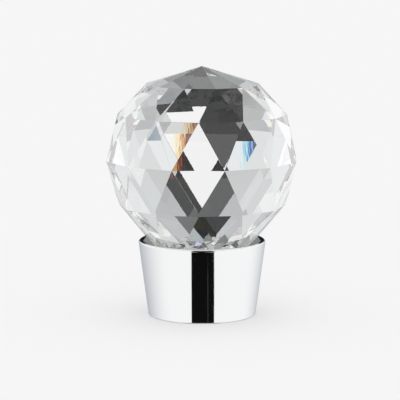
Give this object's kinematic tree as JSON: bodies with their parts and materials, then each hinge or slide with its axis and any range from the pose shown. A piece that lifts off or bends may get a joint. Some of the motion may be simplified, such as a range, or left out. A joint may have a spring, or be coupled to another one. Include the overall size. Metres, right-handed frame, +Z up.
{
  "type": "curtain pole finial",
  "caption": "Curtain pole finial: a facet-cut clear glass ball seated in a tapered chrome-plated collar, with a round socket that slides over the end of a pole.",
  "frame": {"origin": "centre of the collar's open mouth, where the finial stands", "axes": "+Z up the axis from the pole socket to the tip of the ball; the side that faces the room is towards -Y and the grub screw is at the back, towards +Y"},
  "size_m": [0.054, 0.054, 0.072],
  "materials": {
    "crystal_glass": "polished clear crystal glass, cut in flat facets",
    "chrome_plate": "bright polished chrome plate",
    "screw_steel": "plain steel, lightly oiled"
  },
  "bodies": {
    "root": {"crystal_ball": "crystal_glass", "collar": "chrome_plate", "grub_screw": "screw_steel"}
  },
  "joints": []
}
